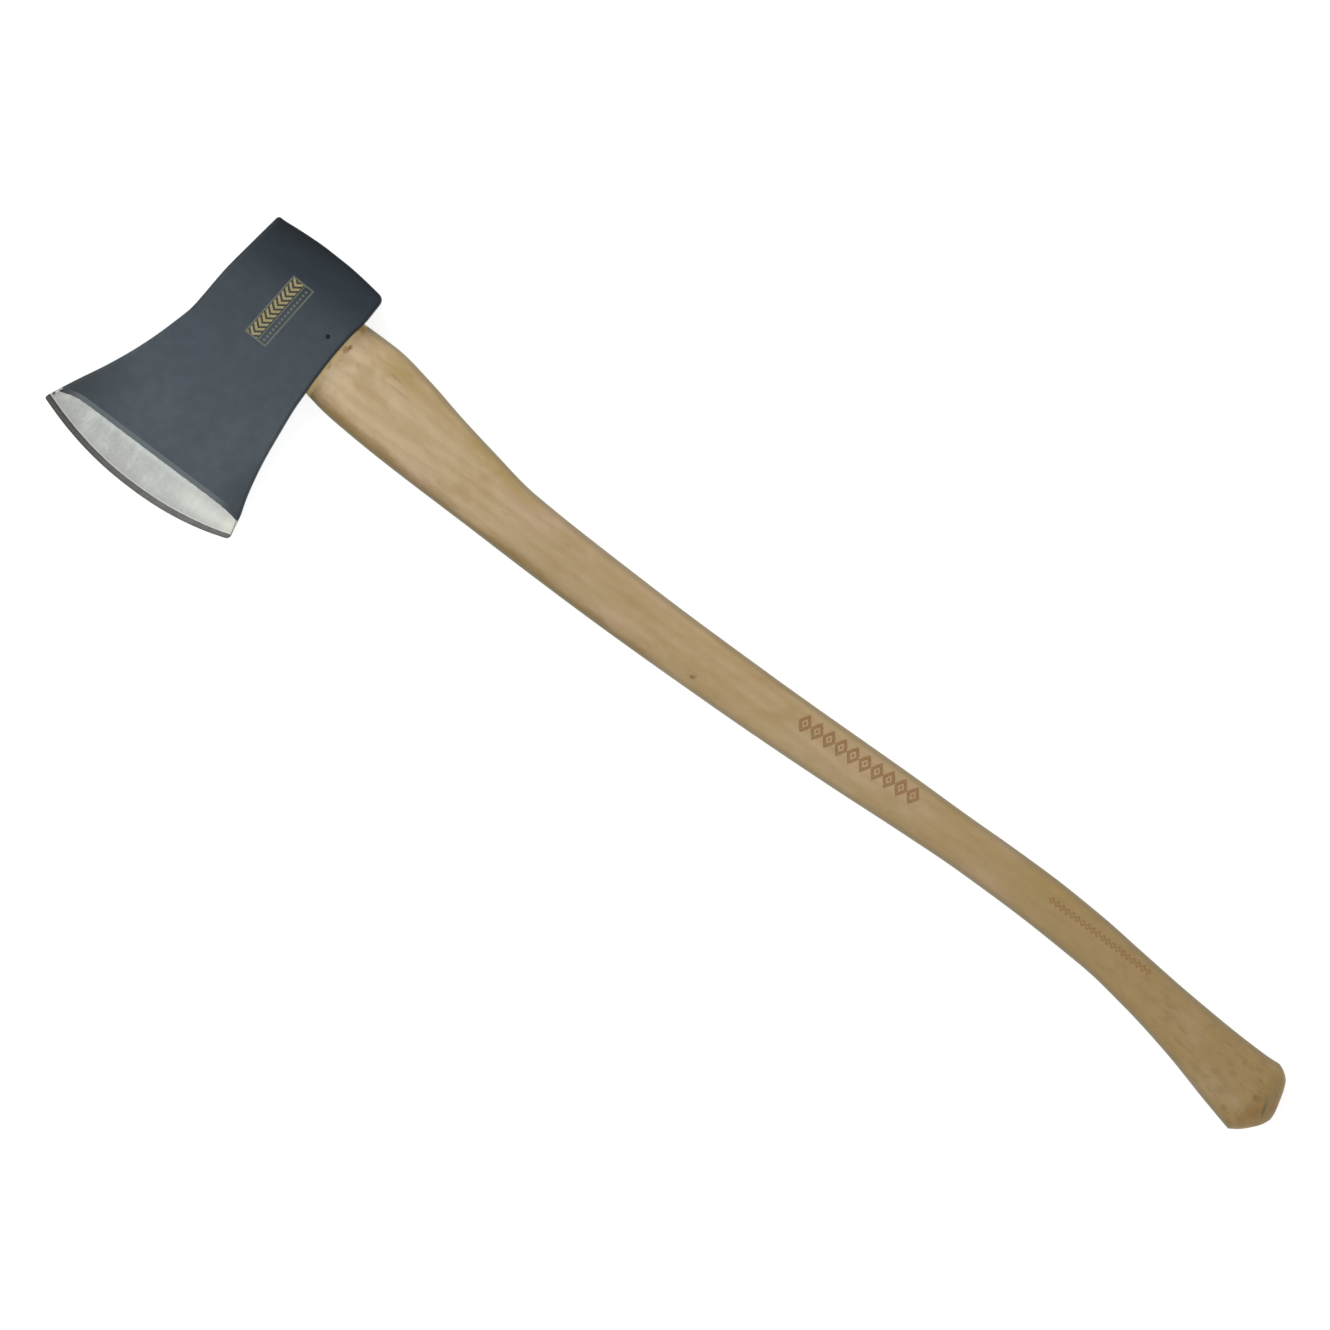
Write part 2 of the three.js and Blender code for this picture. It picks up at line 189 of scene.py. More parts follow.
def oval(a, b, roundness, angle):
    """Points of |y/a|^n + |z/b|^n = 1, at angles that run round it evenly."""
    c, s = np.cos(angle), np.sin(angle)
    power = 2 / roundness
    return a * np.sign(c) * np.abs(c) ** power, b * np.sign(s) * np.abs(s) ** power


class Surface:
    """Collects grids and caps of points in the eye's frame, and makes one closed mesh of them."""

    def __init__(self):
        self.points = []
        self.faces = []

    def grid(self, rows, closed=False, flip=False):
        """Quads between rows of points: rows[i][j]. A closed grid joins each row's end to its start."""
        start = len(self.points)
        count = len(rows[0])
        self.points += [tuple(p) for row in rows for p in row]
        for i in range(len(rows) - 1):
            for j in range(count if closed else count - 1):
                k = (j + 1) % count
                corners = [i * count + j, i * count + k, (i + 1) * count + k, (i + 1) * count + j]
                self.faces.append([start + c for c in (reversed(corners) if flip else corners)])

    def cap(self, ring, flip=False):
        start = len(self.points)
        self.points += [tuple(p) for p in ring]
        corners = range(start, start + len(ring))
        self.faces.append(list(reversed(corners) if flip else corners))

    def loft(self, rings):
        """A closed solid through rings of points, with a flat cap at each end."""
        self.grid(rings, closed=True)
        self.cap(rings[0], flip=True)
        self.cap(rings[-1])
        return self

    def make(self, name, merge=1e-3):
        """The mesh object. Points closer than merge, in millimetres, are joined."""
        mesh = bpy.data.meshes.new(name)
        mesh.from_pydata([tuple(p) for p in to_row(self.points)], [], self.faces)
        made = bpy.data.objects.new(name, mesh)
        bpy.context.scene.collection.objects.link(made)
        clean(made, merge * MM)
        shade(made, SHARP)
        return made


def clean(piece, merge):
    """Joins doubled points, drops what they leave flat, and turns every face outwards."""
    work = bmesh.new()
    work.from_mesh(piece.data)
    bmesh.ops.remove_doubles(work, verts=work.verts, dist=merge)
    bmesh.ops.dissolve_degenerate(work, edges=work.edges, dist=merge)
    bmesh.ops.recalc_face_normals(work, faces=work.faces)
    work.to_mesh(piece.data)
    work.free()


def shade(piece, sharp):
    """Smooth shading, with a crisp line wherever two faces meet at more than sharp degrees."""
    work = bmesh.new()
    work.from_mesh(piece.data)
    for face in work.faces:
        face.smooth = True
    for edge in work.edges:
        edge.smooth = len(edge.link_faces) == 2 and edge.calc_face_angle(0) < math.radians(sharp)
    work.to_mesh(piece.data)
    work.free()


def cut(piece, *tools, sharp=SHARP):
    """Takes the tools' shapes out of a piece, applies the result, and deletes the tools."""
    for tool in tools:
        boolean = piece.modifiers.new("cut", "BOOLEAN")
        boolean.operation = "DIFFERENCE"
        boolean.solver = "MANIFOLD"
        boolean.object = tool
        result = piece.evaluated_get(bpy.context.evaluated_depsgraph_get())
        piece.modifiers.clear()
        piece.data = bpy.data.meshes.new_from_object(result)
        piece.data.name = piece.name
        bpy.data.objects.remove(tool)
    clean(piece, 1e-3 * MM)
    shade(piece, sharp)


def points_of(piece):
    """A piece's points in the eye's frame, in millimetres, one column each for x, y and z."""
    flat = np.empty(len(piece.data.vertices) * 3)
    piece.data.vertices.foreach_get("co", flat)
    return (flat.reshape(-1, 3) - np.array(EYE_ORIGIN)).T / MM


def store(piece, name, values):
    """Keeps one number at each point of the mesh, for the material to read."""
    attribute = piece.data.attributes.new(name, "FLOAT", "POINT")
    attribute.data.foreach_set("value", np.asarray(values, np.float32))


def finish(piece, material, node):
    """The piece takes its material, stands for its CAD node and rides on the axe's only body."""
    piece.data.materials.clear()
    piece.data.materials.append(material)
    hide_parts(node)
    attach(piece, BODY)


# ---- shader tools


class Shader:
    """A procedural material: one Principled BSDF, and short calls that add nodes and wire them."""

    def __init__(self, name):
        self.material = bpy.data.materials.new(name)
        self.material.use_nodes = True
        self.tree = self.material.node_tree
        self.bsdf = self.tree.nodes["Principled BSDF"]

    def feed(self, socket, value):
        if isinstance(value, bpy.types.NodeSocket):
            self.tree.links.new(value, socket)
        elif socket.type == "RGBA":
            socket.default_value = (*value, 1)[:4]
        else:
            socket.default_value = value

    def node(self, kind, inputs, **settings):
        made = self.tree.nodes.new(kind)
        for key, value in settings.items():
            setattr(made, key, value)
        for key, value in inputs.items():
            self.feed(made.inputs[key], value)
        return made

    def math(self, operation, *values):
        made = self.node("ShaderNodeMath", dict(enumerate(values)), operation=operation)
        return made.outputs[0]

    def minus(self, a, b):
        return self.math("SUBTRACT", a, b)

    def apart(self, a, b):
        """How far two numbers are from each other."""
        return self.math("ABSOLUTE", self.minus(a, b))

    def length(self, a, b):
        """The length of the line that spans a one way and b the other."""
        return self.math("SQRT", self.math("ADD", self.both(a, a), self.both(b, b)))

    def vector(self, operation, *values):
        made = self.node("ShaderNodeVectorMath", dict(enumerate(values)), operation=operation)
        return made.outputs[0]

    def here(self):
        """The point being shaded, in the eye's frame, in millimetres."""
        place = self.node("ShaderNodeTexCoord", {}).outputs["Object"]
        centred = self.vector("SUBTRACT", place, EYE_ORIGIN)
        return self.vector("MULTIPLY", centred, (1 / MM,) * 3)

    def split(self, vector):
        return self.node("ShaderNodeSeparateXYZ", {0: vector}).outputs[:3]

    def join(self, x, y, z):
        return self.node("ShaderNodeCombineXYZ", {0: x, 1: y, 2: z}).outputs[0]

    def stretch(self, vector, x, y, z):
        return self.vector("MULTIPLY", vector, (x, y, z))

    def noise(self, vector, scale=1.0, detail=2.0, roughness=0.5, distortion=0.0):
        """Soft noise round 0.5."""
        inputs = {"Vector": vector, "Scale": scale, "Detail": detail, "Roughness": roughness,
                  "Distortion": distortion}
        return self.node("ShaderNodeTexNoise", inputs).outputs[0]

    def stored(self, name):
        """A number kept at the mesh's points by store()."""
        return self.node("ShaderNodeAttribute", {}, attribute_name=name).outputs["Fac"]

    def ease(self, value, low, high):
        """0 up to low, 1 from high, and smooth between. low may be above high."""
        inputs = {"Value": value, "From Min": low, "From Max": high}
        return self.node("ShaderNodeMapRange", inputs, interpolation_type="SMOOTHSTEP").outputs[0]

    def span(self, value, low, high, new_low, new_high):
        """Straight from new_low at low to new_high at high, and no further."""
        inputs = {"Value": value, "From Min": low, "From Max": high, "To Min": new_low, "To Max": new_high}
        return self.node("ShaderNodeMapRange", inputs).outputs[0]

    def mix(self, share, a, b, how="MIX"):
        """Colour a, with b laid on it by share."""
        made = self.node("ShaderNodeMix", {0: share, 6: a, 7: b}, data_type="RGBA", blend_type=how)
        return made.outputs[2]

    def shift(self, share, a, b):
        """Number a, going to b by share."""
        return self.node("ShaderNodeMix", {0: share, 2: a, 3: b}, data_type="FLOAT").outputs[0]

    def stops(self, value, places):
        """A colour picked along a row of (place, colour) stops."""
        made = self.node("ShaderNodeValToRGB", {0: value})
        ramp = made.color_ramp
        ramp.interpolation = "EASE"
        while len(ramp.elements) < len(places):
            ramp.elements.new(0.5)
        for element, (place, colour) in zip(ramp.elements, places):
            element.position = place
            element.color = (*colour, 1)
        return made.outputs[0]

    def both(self, *masks):
        """Masks multiplied together."""
        result = masks[0]
        for mask in masks[1:]:
            result = self.math("MULTIPLY", result, mask)
        return result

    def band(self, value, low, high, blur):
        """1 between low and high, fading over blur outside them."""
        return self.both(self.ease(value, low - blur, low), self.ease(value, high + blur, high))

    def spot(self, here, centre, size, blur=0.5):
        """An oval spot, 1 inside and fading out over a share of its size: size is its half axes."""
        x, y, _ = self.split(here)
        across = self.math("DIVIDE", self.minus(x, centre[0]), size[0])
        along = self.math("DIVIDE", self.minus(y, centre[1]), size[1])
        return self.ease(self.length(across, along), 1 + blur, 1 - blur)

    def bump(self, height, distance):
        """A bump whose full height is distance, in millimetres."""
        return self.node("ShaderNodeBump", {"Height": height, "Distance": distance * MM}).outputs[0]

    def finish(self, **inputs):
        for name, value in inputs.items():
            self.feed(self.bsdf.inputs[name.replace("_", " ")], value)
        return self.material


def srgb(red, green, blue):
    """A colour given in screen values, 0 to 255, as the linear light that shaders work in."""
    shares = [value / 255 for value in (red, green, blue)]
    return tuple(s / 12.92 if s <= 0.04045 else ((s + 0.055) / 1.055) ** 2.4 for s in shares)


# ---- head

CORNER_STEPS = 6
END_STEPS = 6
CHEEK_STEPS = 46
EYE_STEPS = 56
POLL_SECTIONS = 16
BLADE_SECTIONS = 58
BEVEL_SECTIONS = 22
HONED_SECTIONS = 8


def round_bulge(share):
    """How a bowed section stands out along the head's height: 0 at both ends, 1 in the middle."""
    return 4 * share * (1 - share)


def edge_bulge(share):
    """The cutting edge's bow, a little fuller towards the heel."""
    power = np.where(np.asarray(share) < 0.5, 2.3, 2)
    return 1 - np.abs(2 * share - 1) ** power


def poll_bulge(share):
    past = np.maximum(0, np.abs(share - POLL_MIDDLE) - POLL_FLAT_HALF)
    return 1 - np.minimum(1, past / POLL_FALL) ** 1.5


def eye_half_width(x):
    return lerp(EYE_HALF_WIDTH["underside"], EYE_HALF_WIDTH["top"], x / EYE_DEPTH)


def eye_ring(x, angle, grow=0.0):
    """A point of the eye's oval at an angle, grown by so much."""
    return oval(EYE_HALF_LENGTH + grow, eye_half_width(x) + grow, EYE_ROUNDNESS, angle)


def head_section(y, y_top=None, bow=0.0, bulge=round_bulge, half=None, crown=None, lift=(0, 0), eye=None):
    """Half of one section through the head, from the underside round the upper cheek to the top.

    y and y_top place it at the underside and at the top, lift draws its two ends in, and eye is the angle
    round the eye's oval, where the section meets the eye.
    """
    y_top = y if y_top is None else y_top
    half = float(HALF_THICKNESS(y)) if half is None else half
    crown = float(CHEEK_CROWN(y)) if crown is None else crown
    low = float(UNDERSIDE_X(y)) + lift[0]
    high = float(TOP_X(y_top)) - lift[1]
    corner = min(CHEEK_CORNER, half * 0.6)
    end_half = half - crown
    turn = np.linspace(0, math.pi / 2, CORNER_STEPS + 1)
    rise = np.linspace(0, 1, CHEEK_STEPS + 1)[1:-1]
    ends = np.linspace(0, 1, END_STEPS + 1)[:-1]
    low_y, low_z = (y, 0.0) if eye is None else eye_ring(low, eye, EYE_RIM["underside"])
    high_y, high_z = (y, 0.0) if eye is None else eye_ring(high, eye, EYE_RIM["top"])
    flat = end_half - corner
    xs = np.concatenate([
        np.full(END_STEPS, low), low + corner * (1 - np.cos(turn)),
        lerp(low + corner, high - corner, rise),
        high - corner * (1 - np.cos(turn[::-1])), np.full(END_STEPS, high),
    ])
    share = (xs - low) / (high - low)
    crowned = crown * round_bulge(share)
    zs = np.concatenate([
        lerp(low_z, flat, ends), flat + corner * np.sin(turn),
        np.full(len(rise), end_half),
        flat + corner * np.sin(turn[::-1]), lerp(flat, high_z, 1 - ends[::-1]),
    ])
    lifted = np.concatenate([
        np.zeros(END_STEPS), np.sin(turn), np.ones(len(rise)), np.sin(turn[::-1]), np.zeros(END_STEPS),
    ])
    zs = zs + crowned * lifted
    ys = lerp(y, y_top, share) + bow * bulge(share)
    if eye is not None:
        ys[:END_STEPS] += (low_y - y) * (1 - ends)
        ys[-END_STEPS:] += (high_y - y) * (1 - ends[::-1])
        xs[:END_STEPS] = UNDERSIDE_X(ys[:END_STEPS])
        xs[-END_STEPS:] = TOP_X(ys[-END_STEPS:])
    return np.stack([xs, ys, zs], axis=1)


def arc(radius, depth):
    """How far a corner of that radius is drawn in, at a depth behind the face it starts from."""
    left = max(0, 1 - depth / radius)
    return radius * (1 - math.sqrt(1 - left**2))


def head_sections():
    """Sections from the poll to the cutting edge, and which of them meet the eye."""
    sections = []
    corner_ys = [POLL_ARRIS * (1 - math.cos(turn)) for turn in np.linspace(0, math.pi / 2, CORNER_STEPS + 1)]
    eye_clear = EYE_HALF_LENGTH + EYE_CLEAR
    body_ys = np.linspace(POLL_ARRIS, -eye_clear - POLL_FACE_Y, POLL_SECTIONS)[1:]
    for depth in [*corner_ys, *body_ys]:
        y = POLL_FACE_Y + depth
        half = float(HALF_THICKNESS(y)) - arc(POLL_ARRIS, depth)
        lift = tuple(arc(radius, depth) for radius in POLL_CORNERS.values())
        sections.append(head_section(y, bow=float(POLL_BOW(y)), bulge=poll_bulge, half=half, lift=lift))
    eye_start = len(sections)
    angles = math.pi * (1 - np.arange(EYE_STEPS + 1) / EYE_STEPS)
    for angle in angles:
        sections.append(head_section(float(eye_ring(0, angle)[0]), eye=angle))
    eye_end = len(sections)
    grind = GRIND_Y["heel"]
    for y in np.linspace(eye_clear, grind, BLADE_SECTIONS):
        slant = (GRIND_Y["toe"] - grind) * max(0, (y - SLANT_Y) / (grind - SLANT_Y)) ** 2
        sections.append(head_section(y, y_top=y + slant))
    bow = EDGE_Y - (HEEL_Y + TOE_Y) / 2
    honed = head_section(HEEL_Y - HONED_WIDTH, TOE_Y - HONED_WIDTH, bow, edge_bulge, HONED_HALF, 0)
    crease = sections[-1]
    for share in np.linspace(0, 1, BEVEL_SECTIONS)[1:]:
        sections.append(lerp(crease, honed, share))
    for turn in np.linspace(0, math.pi / 2, HONED_SECTIONS)[1:]:
        share = math.sin(turn)
        back = HONED_WIDTH * (1 - share)
        half = lerp(HONED_HALF, EDGE_HALF, share) * (1 + 0.35 * share * (1 - share))
        lift = tuple(corner * (1 - math.cos(turn)) for corner in EDGE_CORNERS.values())
        sections.append(head_section(HEEL_Y - back, TOE_Y - back, bow, edge_bulge, half, 0, lift))
    return sections, slice(eye_start, eye_end), angles


def eye_wall(section, angle):
    """From the top rim of the eye down its wall to the lower rim, rounded at both rims."""
    turns = np.linspace(0, math.pi / 2, 5)
    rows = []
    for turn in turns:
        grow = EYE_RIM["top"] * (1 - math.sin(turn))
        y, z = eye_ring(EYE_DEPTH, angle, grow)
        rows.append((float(TOP_X(y)) - EYE_RIM["top"] * (1 - math.cos(turn)), y, z))
    for x in np.linspace(EYE_DEPTH * 0.9, EYE_DEPTH * 0.05, 12):
        y, z = eye_ring(x, angle)
        rows.append((x, y, z))
    for turn in turns[::-1]:
        grow = EYE_RIM["underside"] * (1 - math.sin(turn))
        y, z = eye_ring(0, angle, grow)
        rows.append((float(UNDERSIDE_X(y)) + EYE_RIM["underside"] * (1 - math.cos(turn)), y, z))
    rows[0] = tuple(section[-1])
    rows[-1] = tuple(section[0])
    return rows


def turned(name, profile, sides):
    """A closed solid turned about the pin's line: profile is (radius, z), from the bottom to the top."""
    angles = np.arange(sides) * 2 * math.pi / sides
    rings = [
        [(PIN["x"] + radius * math.cos(a), PIN["y"] + radius * math.sin(a), z) for a in angles]
        for radius, z in profile
    ]
    return Surface().loft(rings).make(name)


def pin_hole():
    radius = PIN["radius"] + PIN["gap"]
    bottom = CHEEK_HALF - PIN["recess"] - PIN["length"] - PIN["gap"]
    mouth, depth = PIN_MOUTH["radius"], PIN_MOUTH["depth"]
    profile = [
        (radius, bottom), (radius, CHEEK_HALF - depth), (mouth, CHEEK_HALF - depth),
        (mouth, CHEEK_HALF - 0.4), (mouth + 0.1, CHEEK_HALF - 0.2), (mouth + 0.3, CHEEK_HALF - 0.06),
        (mouth + 0.6, CHEEK_HALF), (mouth + 0.6, CHEEK_HALF + 2),
    ]
    return turned("pin_hole", profile, 48)


def bevel_line(x):
    """Where the paint ends, at a height up the cutting edge."""
    ends = 1.7 * np.exp(-((x + 16) / 9) ** 2) + 4.2 * np.exp(-((x - 133) / 9) ** 2)
    return 124 + 0.026 * x + ends


def edge_line(x):
    low, high = float(UNDERSIDE_X(HEEL_Y)), float(TOP_X(TOE_Y))
    share = (x - low) / (high - low)
    bow = EDGE_Y - (HEEL_Y + TOE_Y) / 2
    return lerp(HEEL_Y, TOE_Y, share) + bow * edge_bulge(np.clip(share, 0, 1))


def make_head():
    sections, eye, angles = head_sections()
    surface = Surface()
    for side in (1, -1):
        mirror = np.array([1, 1, side])
        halves = [section * mirror for section in sections]
        surface.grid(halves)
        surface.grid([np.array(eye_wall(s, a)) * mirror for s, a in zip(sections[eye], angles)])
    for ends in (sections[0], sections[-1]):
        column = ends[END_STEPS:-END_STEPS]
        mirrored = column * np.array([1, 1, -1])
        surface.grid([lerp(column, mirrored, share) for share in np.linspace(0, 1, 2 * END_STEPS + 1)])
    head = surface.make("forged_head", merge=5e-3)
    cut(head, pin_hole(), sharp=34)
    x, y, z = points_of(head)
    poll_y = POLL_FACE_Y - POLL_STANDS_OUT * poll_bulge((x - UNDERSIDE_X(y)) / (TOP_X(y) - UNDERSIDE_X(y)))
    depths = [x - UNDERSIDE_X(y), TOP_X(y) - x, HALF_THICKNESS(y) - np.abs(z), y - poll_y]
    store(head, "corner_depth", np.sort(depths, axis=0)[1])
    bare_rim = np.minimum(BARE_RIM["depth"] - (TOP_X(y) - x), y - BARE_RIM["y"])
    store(head, "past_paint", np.maximum(y - bevel_line(x), bare_rim))
    store(head, "from_end", np.minimum(x - UNDERSIDE_X(y), TOP_X(y) - x))
    store(head, "from_edge", edge_line(x) - y)
    return head


# ---- handle

HANDLE_SIDES = 112
HANDLE_ANGLES = np.arange(HANDLE_SIDES) * 2 * math.pi / HANDLE_SIDES
FOOT_RINGS = 30
RING_SPACING = 2.4


def oval_ring(x, middle, half_length, half_width, roundness):
    y, z = oval(half_length, half_width, roundness, HANDLE_ANGLES)
    return np.stack([np.full(HANDLE_SIDES, float(x)), middle + y, z], axis=1)


def handle_ring(x):
    back, belly = float(HANDLE_BACK_Y(x)), float(HANDLE_BELLY_Y(x))
    half_width = float(HANDLE_HALF_WIDTH(x))
    return oval_ring(x, (back + belly) / 2, (belly - back) / 2, half_width, HANDLE_ROUNDNESS)


def foot_ring(share):
    """A ring of the foot's domed end. Its back is full, and its belly cut away."""
    ring = handle_ring(FOOT_X)
    towards_belly = (1 + np.cos(HANDLE_ANGLES)) / 2
    height = lerp(float(FOOT_BACK(share)), float(FOOT_BELLY(share)), towards_belly)
    ring[:, 0] = FOOT_X - FOOT_DOME * np.clip(height, 0, 1)
    ring[:, 1] = lerp(FOOT_APEX_Y, ring[:, 1], share)
    ring[:, 2] *= share
    return ring


def shoulder_ring():
    """The end of the handle's flare, shaped to the underside of the head."""
    ring = oval_ring(0, 0, SHOULDER["half_length"], SHOULDER["half_width"], HANDLE_ROUNDNESS)
    ring[:, 0] = UNDERSIDE_X(ring[:, 1]) - SHOULDER_GAP
    return ring


def tenon_ring(x):
    half_width = float(eye_half_width(x)) - TENON_GAP
    return oval_ring(x, 0, EYE_HALF_LENGTH - TENON_GAP, half_width, EYE_ROUNDNESS)


TOP_BEHIND_EYE = float(TOP_X(-EYE_HALF_LENGTH))
TOP_BEFORE_EYE = float(TOP_X(EYE_HALF_LENGTH))
SAWN_X = (TOP_BEHIND_EYE + TOP_BEFORE_EYE) / 2 - TENON_RECESS
SAWN_SLOPE = (TOP_BEFORE_EYE - TOP_BEHIND_EYE) / (2 * EYE_HALF_LENGTH)


def wedge_outline(wedge, gap=0.0, over=0.0, crown=0.0, corner=0.4, rows=16):
    """Rings up a driven wedge, from its thin end to its top, cut parallel to the top of the head.

    Its four corners are rounded by corner. over runs it on past the sawn end, and crown domes its top.
    """
    turn = math.radians(wedge["turn"])
    rings = []
    for height in np.linspace(0, 1, rows):
        run = height * (wedge["depth"] + over) / wedge["depth"]
        thick = lerp(wedge["bottom"], wedge["top"], run) / 2 + gap
        half = wedge["width"] / 2 + gap
        rounding = min(corner, thick * 0.45)
        ring = []
        for quarter in range(4):
            across = half - rounding if quarter in (0, 3) else rounding - half
            up = thick - rounding if quarter in (0, 1) else rounding - thick
            for step in range(4):
                angle = (quarter + step / 3) * math.pi / 2
                flat_y = across + rounding * math.cos(angle)
                flat_z = up + rounding * math.sin(angle)
                y = wedge["y"] + flat_y * math.cos(turn) - flat_z * math.sin(turn)
                z = flat_y * math.sin(turn) + flat_z * math.cos(turn)
                top = SAWN_X + SAWN_SLOPE * y + over
                dome = crown * height**8 * (1 - (flat_y / half) ** 2)
                ring.append((lerp(SAWN_X - wedge["depth"], top, height) + dome, y, z))
        rings.append(ring)
    return rings


def wedge_cutter(wedge):
    rings = wedge_outline(wedge, gap=KERF_GAP, over=6, corner=0.3, rows=3)
    return Surface().loft(rings).make("cutter")


def make_handle():
    """One length of wood: the domed foot, the curved grip and the tenon with its kerf."""
    foot = [foot_ring(math.sin(turn)) for turn in np.linspace(0.03, math.pi / 2, FOOT_RINGS)]
    grip = [handle_ring(x) for x in np.arange(FOOT_X, SHOULDER["x"] - 4, RING_SPACING)[1:]]
    neck = [lerp(grip[-1], shoulder_ring(), share) for share in (0.25, 0.5, 0.75, 0.93, 1)]
    tenon = [tenon_ring(x) for x in np.linspace(2, SAWN_X - 2, 14)]
    foot_of_tenon = tenon_ring(0)
    foot_of_tenon[:, 0] = UNDERSIDE_X(foot_of_tenon[:, 1]) - SHOULDER_GAP
    sawn = tenon_ring(SAWN_X)
    sawn[:, 0] = SAWN_X + SAWN_SLOPE * sawn[:, 1]
    outside = np.array(foot + grip)
    near_rim = np.exp(-(((np.arange(len(outside)) - FOOT_RINGS) / 2.2) ** 2))
    for _ in range(6):  # softens the arris between the dome and the sides
        middle = (outside[:-2] + outside[2:]) / 2
        outside[1:-1] += 0.5 * (middle - outside[1:-1]) * near_rim[1:-1, None, None]
    handle = Surface().loft([*outside, *neck, foot_of_tenon, *tenon, sawn]).make("hickory_handle")
    kerf = {**WOODEN_WEDGE, "width": 2 * EYE_HALF_LENGTH + 4}
    cut(handle, *[wedge_cutter(w) for w in (kerf, FRONT_WEDGE, REAR_WEDGE)], pin_hole(), sharp=38)
    x, y, _ = points_of(handle)
    back, belly = HANDLE_BACK_Y(x), HANDLE_BELLY_Y(x)
    store(handle, "across", np.clip((y - back) / (belly - back), 0, 1))
    store(handle, "from_side", np.minimum(y - back, belly - y))
    store(handle, "below_head", UNDERSIDE_X(y) - x)
    return handle


# ---- wedges and pin


def make_wedge(name, wedge, crown=0.0, corner=0.4):
    return Surface().loft(wedge_outline(wedge, crown=crown, corner=corner)).make(name)


def make_pin():
    top = CHEEK_HALF - PIN["recess"]
    bottom = top - PIN["length"]
    radius = PIN["radius"]
    dome = [(radius * math.cos(t), top - 0.5 + 0.5 * math.sin(t)) for t in np.linspace(0.2, 1.5, 9)]
    profile = [(radius - 0.6, bottom), (radius, bottom + 0.6), (radius, top - 0.7), *dome]
    return turned("pin_end", profile, 40)


# ---- materials


